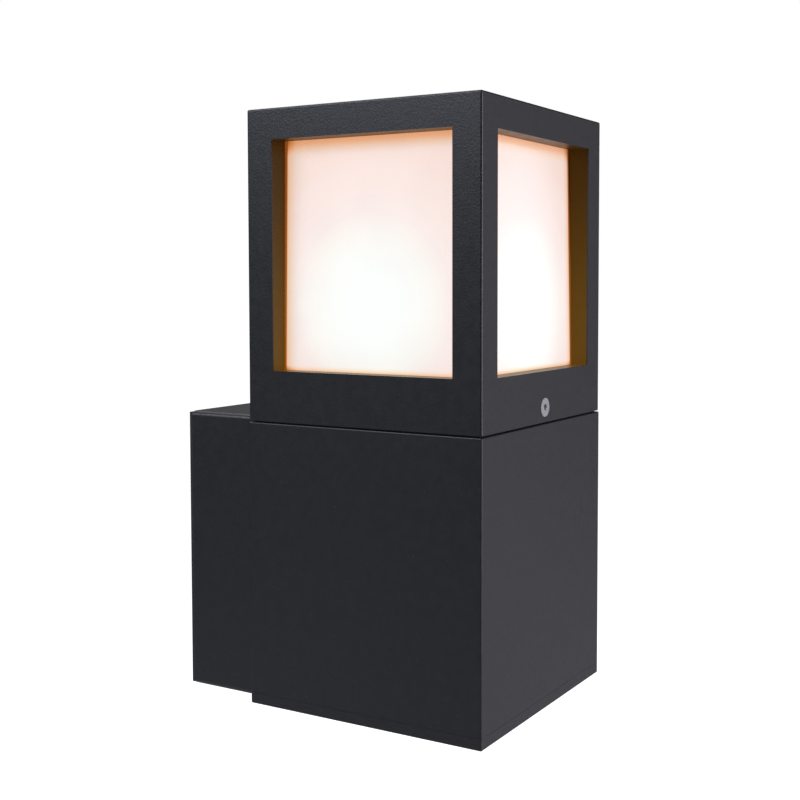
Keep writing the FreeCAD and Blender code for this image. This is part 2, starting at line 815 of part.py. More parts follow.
def make_wall_gasket():
    body = new_body("wall_gasket")
    ring = new_sketch(body, "XZ_Plane")
    for inset in ("wall_seal_inset", "(wall_seal_inset + wall_seal_width)"):
        rectangle(ring, f"-(wall_box_width / 2 - {inset})", f"-(body_height / 2 - {inset})",
                  f"wall_box_width / 2 - {inset}", f"body_height / 2 + box_rise - {inset}")
    pad(ring, "wall_seal")


def make_wall_bracket():
    body = new_body("wall_bracket")
    plate = new_sketch(body, "XZ_Plane")
    rectangle(plate, "-plate_width / 2", f"-{BRACKET_SIDE}", "plate_width / 2", BRACKET_SIDE)
    circle(plate, "entry_hole", 0, "entry_height")
    for side in ("", "-"):
        slot(plate, "slot_length", "slot_radius", f"{side}slot_spacing / 2", 0)
        circle(plate, "fixing_screw + close_play", f"{side}pole_pitch / 2", "block_level")
    pad(plate, "plate")
    flanges = new_sketch(body, "XZ_Plane", "plate")
    rectangle(flanges, "-plate_width / 2", f"{BRACKET_SIDE} - plate", "plate_width / 2", BRACKET_SIDE)
    rectangle(flanges, "-plate_width / 2", f"-{BRACKET_SIDE}",
              "plate_width / 2", f"-({BRACKET_SIDE} - plate)")
    pad(flanges, "flange_reach - plate")
    lip = new_sketch(body, "XZ_Plane", "flange_reach - plate")
    rectangle(lip, "-plate_width / 2", BRACKET_SIDE, "plate_width / 2", f"{BRACKET_SIDE} + hook_lip")
    pad(lip, "plate")
    threads = new_sketch(body, "XY_Plane", f"-{BRACKET_SIDE}")
    for side in ("", "-"):
        circle(threads, "thread_hole", f"{side}hook_x", "-bracket_screw_y")
    pocket(threads, "plate", along=True)


def make_bracket_screws():
    body = new_body("bracket_fixing_screws", 0, "-bracket_screw_y", f"-({BODY_TOP})")
    sketch = new_sketch(body, "XZ_Plane", across="hook_x")
    outline(sketch, [(0, "screw_sink"), ("screw_head_radius", "screw_sink"),
                     ("screw_radius", "screw_sink + screw_head_height"),
                     ("screw_radius", "bracket_screw_length"), (0, "bracket_screw_length")])
    around(body, turn(sketch), "Z_Axis", 2)


def make_cable_grommet():
    body = new_body("cable_grommet", 0, "-plate / 2", "entry_height")
    sketch = new_sketch(body, "YZ_Plane")
    groove = "(entry_hole - close_play)"
    shoulder = "-plate / 2 - hair"
    nose = "-plate / 2 - 2 * entry_step"
    outline(sketch, [("plate / 2", "entry_bore"), ("plate / 2", groove), (shoulder, groove),
                     (shoulder, "entry_hole + entry_lip"),
                     ("-plate / 2 - entry_step", "entry_hole + entry_lip - entry_chamfer"),
                     (nose, "entry_bore + entry_nose"), (nose, "entry_bore")])
    turn(sketch, "H_Axis")


def make_joining_gasket():
    body = new_body("joining_gasket", 0, JOINT_Y, 0)
    sketch = new_sketch(body, "XZ_Plane")
    half_width = "(wall_box_width / 2 - joint_inset)"
    half_height = "(body_height / 2 - joint_inset)"
    rectangle(sketch, f"-{half_width}", f"-{half_height}", half_width, half_height)
    four(sketch, "screw_hole + gasket_hole_play", "joint_screw")
    circle(sketch, "lead_hole + play", 0, "lead_height")
    pad(sketch, "joint_seal")


def make_joining_screws():
    body = new_body("joining_screws", 0, "-(wall_reach + body_wall)", 0)
    sketch = new_sketch(body, "YZ_Plane", level="joint_screw", rise="joint_screw")
    outline(sketch, [("-pan_height", 0), ("-pan_height", "pan_head"), (0, "pan_head"),
                     (0, "screw_radius"), ("joint_screw_length - pan_screw_tip", "screw_radius"),
                     ("joint_screw_length", "screw_radius - pan_screw_tip"),
                     ("joint_screw_length", 0)])
    around(body, turn(sketch, "H_Axis"), "Y_Axis", 4)


def make_lead_grommet():
    body = new_body("lead_grommet", 0, "-wall_reach", "lead_height")
    sketch = new_sketch(body, "YZ_Plane")
    outside = "(lead_hole - close_play)"
    bore = "(lead_hole - lead_grommet_wall)"
    lip = "(lead_hole + lead_grommet_lip)"
    rim = f"({lip} - lead_grommet_chamfer)"
    back = "(joint_seal + box_front + hair)"
    front = "-(body_wall + hair)"
    rear_end = f"{back} + lead_grommet_lip"
    front_end = f"{front} - lead_grommet_lip"
    outline(sketch, [(rear_end, bore), (rear_end, rim), (back, lip), (back, outside),
                     (front, outside), (front, lip), (front_end, rim), (front_end, bore)])
    turn(sketch, "H_Axis")


# ---------------------------------------------------------------- terminals

def pole_centres():
    return ["-pole_pitch", "0", "pole_pitch"]


def make_terminal_block():
    body = new_body("terminal_block", 0, "-plate", "block_level")
    side = new_sketch(body, "YZ_Plane", level="-block_width / 2")
    slope = "-block_depth + block_slope"
    shoulder = "(block_height / 2 - block_shoulder)"
    outline(side, [(0, "-block_height / 2"), (0, "block_height / 2"), (slope, "block_height / 2"),
                   ("-block_depth", shoulder), ("-block_depth", f"-{shoulder}"),
                   (slope, "-block_height / 2")])
    pad(side, "block_width")
    tunnels = new_sketch(body, "XY_Plane", "-block_height / 2")
    half = "(insert_width / 2 + play)"
    for centre in pole_centres():
        rectangle(tunnels, f"{centre} - {half}", f"-pole_depth - {half}",
                  f"{centre} + {half}", f"-pole_depth + {half}")
    pocket(tunnels, "block_height", along=True)
    wells = new_sketch(body, "XZ_Plane", "block_depth")
    for centre in pole_centres():
        for end in ("", "-"):
            circle(wells, "clamp_well", centre, f"{end}clamp_pitch / 2")
    pocket(wells, "block_depth - pole_depth - insert_width / 2")
    fixings = new_sketch(body, "XZ_Plane", "block_depth")
    for end in ("", "-"):
        circle(fixings, "fixing_screw + play", f"{end}pole_pitch / 2")
    pocket(fixings, "block_depth")


def make_terminal_inserts():
    body = new_body("terminal_inserts", 0, "-plate", "block_level")
    sketch = new_sketch(body, "XY_Plane", "-insert_length / 2")
    half = "insert_width / 2"
    for centre in pole_centres():
        rectangle(sketch, f"{centre} - {half}", f"-pole_depth - {half}",
                  f"{centre} + {half}", f"-pole_depth + {half}")
    pad(sketch, "insert_length")
    leads = new_sketch(body, "XY_Plane", "-insert_length / 2")
    for centre in pole_centres():
        circle(leads, "lead_entry", centre, "-pole_depth")
    pocket(leads, "insert_length", along=True)
    threads = new_sketch(body, "XZ_Plane", "block_depth")
    for centre in pole_centres():
        for end in ("", "-"):
            circle(threads, "clamp_screw + close_play", centre, f"{end}clamp_pitch / 2")
    pocket(threads, "block_depth - pole_depth")


def make_terminal_screws():
    body = new_body("terminal_screws", 0, "-plate", "block_level")
    head_base = "pole_depth + insert_width / 2 + clamp_rise"
    heads = new_sketch(body, "XZ_Plane", head_base)
    shanks = new_sketch(body, "XZ_Plane", "pole_depth + lead_radius + play")
    slots = new_sketch(body, "XZ_Plane", f"{head_base} + clamp_head_height")
    for centre in pole_centres():
        for end in ("", "-"):
            height = f"{end}clamp_pitch / 2"
            circle(heads, "clamp_screw_head", centre, height)
            circle(shanks, "clamp_screw", centre, height)
            rectangle(slots, f"{centre} - clamp_well", f"{height} - driver_slot",
                      f"{centre} + clamp_well", f"{height} + driver_slot")
    pad(heads, "clamp_head_height")
    pad(shanks, "insert_width / 2 + clamp_rise - lead_radius")
    pocket(slots, "driver_depth")


def make_block_screws():
    body = new_body("terminal_block_screws", 0, "-plate - block_depth", "block_level")
    sketch = new_sketch(body, "YZ_Plane", level="pole_pitch / 2")
    end = "block_depth + plate - wide_play"
    outline(sketch, [("-fixing_head_height", 0), ("-fixing_head_height", "fixing_head - fixing_head_edge"),
                     ("-fixing_head_height / 2", "fixing_head"), (0, "fixing_head"),
                     (0, "fixing_screw"), (end, "fixing_screw"), (end, 0)])
    twice(body, turn(sketch, "H_Axis"), "X_Axis", "pole_pitch")


# ---------------------------------------------------------------- leads and earthing

BEND_SHARE = 0.45
VOLUME_SLACK = 0.01


def lead_shape(spots, radius):
    """A round lead along straight runs joined by tangent arcs as large as the runs allow."""
    edges = []
    start = spots[0]
    for before, corner, after in zip(spots, spots[1:], spots[2:]):
        back = before - corner
        on = after - corner
        half_turn = (math.pi - back.getAngle(on)) / 2
        reach = BEND_SHARE * min(back.Length, on.Length)
        bend = reach / math.tan(half_turn)
        back.normalize()
        on.normalize()
        enter = corner + back * reach
        leave = corner + on * reach
        inward = (back + on).normalize()
        middle = corner + inward * (bend / math.cos(half_turn) - bend)
        edges.append(Part.LineSegment(start, enter).toShape())
        edges.append(Part.Arc(enter, middle, leave).toShape())
        print(f"bend radius {bend:.1f}")
        start = leave
    edges.append(Part.LineSegment(start, spots[-1]).toShape())
    length = sum(edge.Length for edge in edges)
    path = Part.Wire(edges)
    rim = Part.Circle(spots[0], spots[1] - spots[0], radius).toShape()
    solid = path.makePipeShell([Part.Wire([rim])], True, True)
    expected = math.pi * radius ** 2 * length
    if abs(solid.Volume / expected - 1) > VOLUME_SLACK:
        raise ValueError("a lead's volume differs from its section times its length")
    return solid


def make_lead(label, route):
    lead = doc.addObject("Part::Feature", label)
    lead.Label = label
    spots = [Vector(*(value(formula) for formula in spot)) for spot in route]
    lead.Shape = lead_shape(spots, value("lead_radius"))
    lead.Placement = Placement(Vector(0, 0, 0), Rotation())
    sub_parts.append(lead)


def make_leads():
    terminal_y = "-plate - pole_depth"
    terminal_z = "block_level - lead_start"
    drop = "lead_height + lead_drop"
    for label, pole, spread, end in (("live_lead", "-pole_pitch", "-lead_spread", "-nipple_spread"),
                                     ("neutral_lead", "0", "0", "nipple_spread")):
        make_lead(label, [
            (pole, terminal_y, terminal_z),
            (pole, terminal_y, drop),
            (spread, "-wall_reach + lead_behind", "lead_height"),
            (spread, "-wall_reach - lead_before", "lead_height"),
            (end, AXIS_Y, "lead_height - lead_rise"),
            (end, AXIS_Y, f"{BODY_TOP} + holder_split + lead_in_holder")])
    ring_x = "(body_width / 2 - body_wall - earth_boss_height - earth_lead_gap)"
    make_lead("earth_lead", [
        ("pole_pitch", terminal_y, terminal_z),
        ("pole_pitch", terminal_y, drop),
        ("lead_spread", "-wall_reach + lead_behind", "lead_height"),
        ("lead_spread", "-wall_reach - earth_before", "lead_height"),
        ("earth_turn_x", "-wall_reach - earth_turn", "lead_height"),
        (f"{ring_x} - earth_side", "-wall_reach - earth_bend", "lead_height"),
        (ring_x, "earth_front + earth_end", "lead_height")])


def make_earth_terminal():
    """A ring terminal with the barrel that holds the lead's end."""
    face = "body_width / 2 - body_wall - earth_boss_height"
    body = new_body("earth_ring_terminal", face, "earth_front", "lead_height")
    ring = new_sketch(body, "YZ_Plane")
    circle(ring, "ring_radius")
    circle(ring, "screw_radius + play")
    pad(ring, "ring_plate", back=True)
    neck = new_sketch(body, "YZ_Plane")
    rectangle(neck, "barrel_near", "-barrel_half", "barrel_far", "barrel_half")
    pad(neck, "ring_plate", back=True)


def make_earth_screw():
    face = "body_width / 2 - body_wall - earth_boss_height - ring_plate"
    body = new_body("earth_screw", face, "earth_front", "lead_height")
    sketch = new_sketch(body, "XZ_Plane")
    end = "earth_boss_height + earth_screw_end"
    outline(sketch, [("-pan_height", 0), ("-pan_height", "pan_head"), (0, "pan_head"),
                     (0, "screw_radius"), (end, "screw_radius"), (end, 0)])
    turn(sketch, "H_Axis")


# ---------------------------------------------------------------- lampholder

def make_lampholder_bracket():
    body = new_body("lampholder_bracket", 0, AXIS_Y, BODY_TOP)
    side = new_sketch(body, "XZ_Plane", level="-strip_width / 2")
    span = "strip_span"
    outer = "(strip_span + strip)"
    low = "(strip_floor)"
    outline(side, [
        ("-strip_flange", "-deck"), ("-strip_flange", "-deck - strip"), (f"-{outer}", "-deck - strip"),
        (f"-{outer}", low), (outer, low), (outer, "-deck - strip"),
        ("strip_flange", "-deck - strip"), ("strip_flange", "-deck"), (span, "-deck"),
        (span, f"{low} + strip"), (f"-{span}", f"{low} + strip"), (f"-{span}", "-deck")])
    pad(side, "strip_width")
    pocket(circle(new_sketch(body, "XY_Plane", low), "nipple_hole"), "strip", along=True)
    threads = new_sketch(body, "XY_Plane", "-deck")
    for end in ("", "-"):
        circle(threads, "thread_hole", f"{end}strip_screw")
    pocket(threads, "strip")


def make_strip_screws():
    body = new_body("lampholder_bracket_screws", 0, AXIS_Y, f"{BODY_TOP} + seam_gap")
    sketch = new_sketch(body, "XZ_Plane", across="strip_screw")
    screw_profile(sketch, "screw_head_radius", "screw_head_height", "screw_radius",
                  "(seam_gap + deck + strip + strip_screw_end)", "screw_sink")
    around(body, turn(sketch), "Z_Axis", 2)


def make_nipple():
    body = new_body("lampholder_nipple", 0, AXIS_Y, BODY_TOP)
    tube = new_sketch(body, "XY_Plane", "nipple_bottom")
    circle(tube, "nipple_radius")
    circle(tube, "nipple_bore")
    pad(tube, "nipple_top - nipple_bottom")


def make_nipple_nut():
    body = new_body("lampholder_nut", 0, AXIS_Y, f"{BODY_TOP} + strip_floor")
    nut = new_sketch(body, "XY_Plane", "-nut_height")
    corner = "nut_flat / cos(30)"
    outline(nut, [(f"{corner} * cos({60 * n})", f"{corner} * sin({60 * n})") for n in range(6)])
    circle(nut, "nipple_hole")
    pad(nut, "nut_height")


def make_lampholder_cap():
    body = new_body("lampholder_cap", 0, AXIS_Y, BODY_TOP)
    sketch = new_sketch(body, "XZ_Plane")
    outline(sketch, [
        ("nipple_hole", "holder_bottom"), ("nipple_hole + holder_foot", "holder_bottom"),
        ("holder_radius", "holder_bottom + holder_cone"), ("holder_radius", "holder_split"),
        ("holder_radius - holder_wall", "holder_split"),
        ("holder_radius - holder_wall", "holder_bottom + holder_cone_inside"),
        ("nipple_hole + holder_foot_inside", "holder_bottom + holder_floor"),
        ("nipple_hole", "holder_bottom + holder_floor")])
    turn(sketch)


def make_lampholder_sleeve():
    body = new_body("lampholder_sleeve", 0, AXIS_Y, BODY_TOP)
    sketch = new_sketch(body, "XZ_Plane")
    inner = "(holder_radius - holder_wall)"
    mouth = "shell_radius + wide_play"
    outline(sketch, [
        (inner, "holder_split"), ("holder_radius", "holder_split"),
        ("holder_radius", "holder_top - sleeve_edge"), ("holder_radius - sleeve_edge", "holder_top"),
        (mouth, "holder_top"), (mouth, "holder_top - sleeve_lip"), (inner, "holder_top - sleeve_slope")])
    turn(sketch)


def make_lampholder_core():
    body = new_body("lampholder_core", 0, AXIS_Y, BODY_TOP)
    disc = circle(new_sketch(body, "XY_Plane", "holder_split"), "core_radius")
    pad(disc, "core_top - holder_split")
    leads = new_sketch(body, "XY_Plane", "holder_split")
    for end in ("", "-"):
        circle(leads, "lead_radius + wide_play", f"{end}nipple_spread")
    pocket(leads, "core_entry", along=True)


def make_lampholder_shell():
    body = new_body("lampholder_shell", 0, AXIS_Y, BODY_TOP)
    tube = new_sketch(body, "XY_Plane", "core_top")
    circle(tube, "shell_radius")
    circle(tube, "shell_bore")
    pad(tube, "shell_top - core_top")


def make_lampholder_contact():
    """The centre contact, a bent spring strip."""
    body = new_body("lampholder_contact", 0, AXIS_Y, f"{BODY_TOP} + core_top")
    side = new_sketch(body, "XZ_Plane", level="-contact_half")
    rise = "(contact_top - core_top)"
    under = f"{rise} - contact_strip"
    outline(side, [("-contact_foot", 0), ("-contact_foot", "contact_strip"), ("-contact_flat", rise),
                   ("contact_flat", rise), ("contact_tail", f"{rise} - contact_drop"),
                   ("contact_flat", under), ("-contact_under", under), ("-contact_heel", 0)])
    pad(side, "2 * contact_half")


# ---------------------------------------------------------------- lamp

def make_lamp_contact():
    body = new_body("lamp_contact", 0, AXIS_Y, BODY_TOP)
    sketch = new_sketch(body, "XZ_Plane")
    outline(sketch, [(0, "tip_bottom"), ("tip_radius", "tip_bottom"), ("tip_flare", "insulator_bottom"),
                     (0, "insulator_bottom")])
    turn(sketch)


def make_lamp_insulator():
    body = new_body("lamp_insulator", 0, AXIS_Y, BODY_TOP)
    sketch = new_sketch(body, "XZ_Plane")
    outline(sketch, [(0, "insulator_bottom"), ("insulator_radius", "insulator_bottom"),
                     ("insulator_flare", "cap_bottom"), (0, "cap_bottom")])
    turn(sketch)


def make_lamp_cap():
    """The threaded shell of the cap, its thread as rings."""
    body = new_body("lamp_cap", 0, AXIS_Y, BODY_TOP)
    sketch = new_sketch(body, "XZ_Plane")
    inside = "(cap_radius - thread_depth - cap_wall)"
    root = "cap_radius - thread_depth"
    corners = [(inside, "cap_bottom"), (root, "cap_bottom")]
    for ring in range(DIMENSIONS["thread_turns"]):
        foot = f"cap_bottom + thread_start + {ring} * thread_pitch"
        corners += [(root, foot), ("cap_radius", f"{foot} + thread_flank"),
                    ("cap_radius", f"{foot} + thread_flank + thread_crest"),
                    (root, f"{foot} + 2 * thread_flank + thread_crest")]
    corners += [(root, "cap_top"), (inside, "cap_top")]
    outline(sketch, corners)
    turn(sketch)


def make_lamp_housing():
    body = new_body("lamp_housing", 0, AXIS_Y, BODY_TOP)
    sketch = new_sketch(body, "XZ_Plane")
    floor = "globe_seat - seat_depth"
    outline(sketch, [
        (0, "cap_top"), ("neck_radius", "cap_top"),
        ("neck_radius + neck_flare", "cap_top + neck_height"),
        ("neck_radius + waist_flare", "cap_top + waist_height"),
        ("neck_radius + shoulder_flare", "cap_top + shoulder_height"),
        ("globe_radius - seat_outside", "globe_seat"), ("globe_radius - seat_inside", "globe_seat"),
        ("globe_radius - seat_inside", floor), (0, floor)])
    turn(sketch)


def make_lamp_board():
    body = new_body("lamp_led_board", 0, AXIS_Y, f"{BODY_TOP} + globe_seat - seat_depth")
    pad(circle(new_sketch(body, "XY_Plane"), "board_radius"), "board")
    chips = new_sketch(body, "XY_Plane", "board")
    for chip in range(DIMENSIONS["chip_count"]):
        x = f"chip_circle * cos({chip} * 360 / chip_count)"
        y = f"chip_circle * sin({chip} * 360 / chip_count)"
        rectangle(chips, f"{x} - chip_half", f"{y} - chip_half", f"{x} + chip_half", f"{y} + chip_half")
    pad(chips, "chip_height")


def make_lamp_globe():
    """An opal globe: a hollow ball cut off where it sits on the housing."""
    shapes = []
    for label, radius in (("globe_outside", "globe_radius"), ("globe_inside", "globe_radius - globe_wall")):
        ball = doc.addObject("Part::Sphere", label)
        ball.setExpression("Radius", bound(radius))
        shapes.append(ball)
    shell = doc.addObject("Part::Cut", "globe_shell")
    shell.Base, shell.Tool = shapes
    below = doc.addObject("Part::Box", "globe_below")
    for name in ("Length", "Width", "Height"):
        below.setExpression(name, bound("4 * globe_radius"))
    for axis in "xy":
        below.setExpression("Placement.Base." + axis, bound("-2 * globe_radius"))
    below.setExpression("Placement.Base.z", bound("globe_seat - globe_centre - 4 * globe_radius"))
    globe = doc.addObject("Part::Cut", "lamp_globe")
    globe.Label = "lamp_globe"
    globe.Base = shell
    globe.Tool = below
    globe.setExpression("Placement.Base.y", bound(AXIS_Y))
    globe.setExpression("Placement.Base.z", bound(f"{BODY_TOP} + globe_centre"))
    sub_parts.append(globe)


# ---------------------------------------------------------------- the whole lantern

make_wall_gasket()
make_wall_bracket()
make_wall_box()
make_bracket_screws()
make_cable_grommet()
make_terminal_block()
make_terminal_inserts()
make_terminal_screws()
make_block_screws()
make_joining_gasket()
make_joining_screws()
make_lead_grommet()
make_leads()
make_body_box()
make_head_tabs()
make_bottom_cover()
make_bottom_gasket()
make_cover_screws()
make_diffuser_gasket()
make_earth_terminal()
make_earth_screw()
make_lampholder_bracket()
make_strip_screws()
make_nipple()
make_nipple_nut()
make_lampholder_cap()
make_lampholder_sleeve()
make_lampholder_core()
make_lampholder_shell()
make_lampholder_contact()
make_head_frame()
make_diffuser()
make_diffuser_clips()
make_clip_screws()
make_clamp_plates()
make_head_screw("front_head_screw", 1)
make_head_screw("rear_head_screw", -1)
make_lamp_contact()
make_lamp_insulator()
make_lamp_cap()
make_lamp_housing()
make_lamp_board()
make_lamp_globe()
doc.recompute()

for item in doc.Objects:
    if {"Invalid", "Error"} & set(item.State):
        raise ValueError(f"{item.Label} failed: {item.State}")
for part in sub_parts:
    if part.Shape.isNull() or not part.Shape.isValid():
        raise ValueError(f"{part.Label} has no valid shape")

os.makedirs("parts", exist_ok=True)
for part in sub_parts:
    part.Shape.exportStep(f"parts/{part.Label}.step")
    solids = len(part.Shape.Solids)
    print(f"{part.Label}: {solids} solid(s), {part.Shape.Volume / 1000:.3f} cm3")
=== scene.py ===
import math

import bpy
from mathutils import Matrix, Vector


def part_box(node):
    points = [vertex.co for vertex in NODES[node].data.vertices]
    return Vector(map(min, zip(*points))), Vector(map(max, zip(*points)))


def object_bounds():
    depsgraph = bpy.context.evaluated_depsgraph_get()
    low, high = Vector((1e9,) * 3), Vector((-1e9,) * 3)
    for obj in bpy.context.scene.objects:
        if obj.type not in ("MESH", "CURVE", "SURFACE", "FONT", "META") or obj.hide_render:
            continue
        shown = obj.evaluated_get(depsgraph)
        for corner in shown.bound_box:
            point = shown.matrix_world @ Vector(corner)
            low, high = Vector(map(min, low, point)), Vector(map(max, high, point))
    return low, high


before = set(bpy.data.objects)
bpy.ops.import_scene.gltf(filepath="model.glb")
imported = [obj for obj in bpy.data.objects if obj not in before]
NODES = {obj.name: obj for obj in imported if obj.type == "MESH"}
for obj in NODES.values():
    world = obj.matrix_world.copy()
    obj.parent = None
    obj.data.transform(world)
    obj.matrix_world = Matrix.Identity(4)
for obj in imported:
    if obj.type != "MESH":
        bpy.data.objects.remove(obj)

# Outdoor wall lantern, in metres, in the row frame: the wall is y = 0, the front faces -Y, +Z is up.

cad_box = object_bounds()
NOISE_ROUGH = 0.55

# Where nearly all of a noise lies, between its darkest and its palest.
LOW = 0.3
HIGH = 0.7


# ---------------------------------------------------------------- node helpers

class Shader:
    """A material's node tree with short ways to add and link nodes."""

    def __init__(self, name):
        self.material = bpy.data.materials.new(name)
        self.material.use_nodes = True
        self.tree = self.material.node_tree
        self.surface = self.tree.nodes["Principled BSDF"]

    def add(self, kind, **settings):
        """A shader node with its settings."""
        node = self.tree.nodes.new("ShaderNode" + kind)
        for name, setting in settings.items():
            setattr(node, name, setting)
        return node

    def feed(self, socket, source):
        """Links a socket to a node's output, or sets it to a constant."""
        if isinstance(source, bpy.types.NodeSocket):
            self.tree.links.new(source, socket)
        else:
            socket.default_value = source

    def sockets(self, **values):
        """Sets or links the surface shader's own sockets."""
        for name, source in values.items():
            self.feed(self.surface.inputs[name.replace("_", " ")], source)
        return self

    def place(self):
        """The object's own coordinates, in metres."""
        return self.add("TexCoord").outputs["Object"]

    def noise(self, scale, detail, stretch=None):
        """A noise between 0 and 1, its scale in features per metre."""
        node = self.add("TexNoise")
        node.inputs["Scale"].default_value = scale
        node.inputs["Detail"].default_value = detail
        node.inputs["Roughness"].default_value = NOISE_ROUGH
        spot = self.place()
        if stretch is not None:
            spot = self.vector("MULTIPLY", spot, stretch)
        self.feed(node.inputs["Vector"], spot)
        return node.outputs["Fac"]

    def vector(self, operation, first, second):
        node = self.add("VectorMath", operation=operation)
        self.feed(node.inputs[0], first)
        self.feed(node.inputs[1], second)
        return node.outputs["Value" if operation == "LENGTH" else "Vector"]

    def math(self, operation, first, second=0.0):
        node = self.add("Math", operation=operation)
        self.feed(node.inputs[0], first)
        self.feed(node.inputs[1], second)
        return node.outputs[0]

    def ramp(self, source, stops):
        """An even colour ramp through (position, colour) stops."""
        node = self.add("ValToRGB")
        band = node.color_ramp
        band.interpolation = "LINEAR"
        while len(band.elements) < len(stops):
            band.elements.new(0.5)
        for element, (spot, colour) in zip(band.elements, stops):
            element.position = spot
            element.color = (*colour, 1.0)
        self.feed(node.inputs["Fac"], source)
        return node.outputs["Color"]

    def remap(self, source, low, high, to_low=0.0, to_high=1.0, smooth=True):
        """A value moved from one range to another and held inside it."""
        node = self.add("MapRange")
        node.interpolation_type = "SMOOTHSTEP" if smooth else "LINEAR"
        for name, number in (("From Min", low), ("From Max", high), ("To Min", to_low),
                             ("To Max", to_high)):
            self.feed(node.inputs[name], number)
        self.feed(node.inputs["Value"], source)
        return node.outputs["Result"]

    def mix(self, amount, first, second):
        """A mix of two colours, each a socket or three channels."""
        node = self.add("Mix", data_type="RGBA")
        self.feed(node.inputs["Factor"], amount)
        for socket, colour in ((node.inputs[6], first), (node.inputs[7], second)):
            self.feed(socket, colour if isinstance(colour, bpy.types.NodeSocket) else (*colour, 1.0))
        return node.outputs[2]

    def bump(self, height, distance, strength):
        """Relief from a height, on the surface shader."""
        node = self.add("Bump")
        node.inputs["Strength"].default_value = strength
        node.inputs["Distance"].default_value = distance
        self.feed(node.inputs["Height"], height)
        self.sockets(Normal=node.outputs["Normal"])
        return self

    def split(self, source):
        """A vector's X, Y and Z."""
        node = self.add("SeparateXYZ")
        self.feed(node.inputs[0], source)
        return node.outputs


def wear(material, *nodes):
    """Gives a material to CAD nodes."""
    for name in nodes:
        node = NODES[name]
        if not node.material_slots:
            node.data.materials.append(material)
        for slot in node.material_slots:
            slot.material = material


# ---------------------------------------------------------------- camera

CAMERA_PLACE = Vector((-0.4574, -0.3678, 0.1181))
CAMERA_TURN = math.radians(60.14)
CAMERA_DIP = math.radians(3.03)
SENSOR = 36.0
LENS = 55.63
SHIFT = (-0.0647, -0.0674)
CLIP_START = 0.01


def make_camera():
    """A camera at the lantern's left front, turned and dipped a little, with no roll."""
    lens = bpy.data.cameras.new("camera")
    lens.sensor_width = SENSOR
    lens.lens = LENS
    lens.shift_x, lens.shift_y = SHIFT
    lens.clip_start = CLIP_START
    camera = bpy.data.objects.new("camera", lens)
    bpy.context.scene.collection.objects.link(camera)
    forward = Vector((math.sin(CAMERA_TURN) * math.cos(CAMERA_DIP),
                      math.cos(CAMERA_TURN) * math.cos(CAMERA_DIP), -math.sin(CAMERA_DIP)))
    rightward = Vector((math.cos(CAMERA_TURN), -math.sin(CAMERA_TURN), 0.0))
    upward = rightward.cross(forward)
    camera.matrix_world = Matrix((
        (rightward.x, upward.x, -forward.x, CAMERA_PLACE.x),
        (rightward.y, upward.y, -forward.y, CAMERA_PLACE.y),
        (rightward.z, upward.z, -forward.z, CAMERA_PLACE.z),
        (0.0, 0.0, 0.0, 1.0)))
    bpy.context.scene.camera = camera


make_camera()
bpy.context.scene.view_settings.view_transform = "Standard"


# ---------------------------------------------------------------- studio

FLOOR_DROP = 0.35
FLOOR_REACH = 6.0
WORLD_LIGHT = 0.05
WHITE = (1.0, 1.0, 1.0, 1.0)
FLOOR_COLOUR = (0.8, 0.8, 0.8, 1.0)


def seen_or_lit(shader_tree, to_light, to_eye):
    """A strength that differs between what the eye sees and what lights the object."""
    path = shader_tree.nodes.new("ShaderNodeLightPath")
    level = shader_tree.nodes.new("ShaderNodeMapRange")
    level.inputs["To Min"].default_value = to_light
    level.inputs["To Max"].default_value = to_eye
    shader_tree.links.new(path.outputs["Is Camera Ray"], level.inputs["Value"])
    return level.outputs["Result"]


def make_world():
    """A white surround for the eye and a dim one for light."""
    world = bpy.data.worlds.new("studio")
    world.use_nodes = True
    bpy.context.scene.world = world
    tree = world.node_tree
    background = tree.nodes["Background"]
    background.inputs["Color"].default_value = WHITE
    tree.links.new(seen_or_lit(tree, WORLD_LIGHT, 1.0), background.inputs["Strength"])


def make_floor():
    """A pale floor well below the lantern, which hangs on a wall."""
    mesh = bpy.data.meshes.new("floor")
    level = cad_box[0][2] - FLOOR_DROP
    reach = FLOOR_REACH
    mesh.from_pydata([(-reach, -reach, level), (reach, -reach, level), (reach, reach, level),
                      (-reach, reach, level)], [], [(0, 1, 2, 3)])
    floor = bpy.data.objects.new("floor", mesh)
    bpy.context.scene.collection.objects.link(floor)
    shader = Shader("floor_paper")
    shader.sockets(Base_Color=FLOOR_COLOUR, Roughness=0.9, Emission_Color=WHITE,
                   Emission_Strength=seen_or_lit(shader.tree, 0.0, 1.0))
    mesh.materials.append(shader.material)


def make_light(name, place, aim, size, watts, tint):
    """A rectangular softbox that faces a point."""
    light = bpy.data.lights.new(name, "AREA")
    light.shape = "RECTANGLE"
    light.size, light.size_y = size
    light.energy = watts
    light.color = tint
    lamp = bpy.data.objects.new(name, light)
    bpy.context.scene.collection.objects.link(lamp)
    lamp.location = place
    lamp.rotation_euler = (aim - Vector(place)).to_track_quat("-Z", "Y").to_euler()


FRONT_TINT = (1.02, 0.97, 1.08)
SIDE_TINT = (0.94, 0.97, 1.10)
TOP_TINT = (0.98, 0.99, 1.06)
HEAD_RISE = 0.075

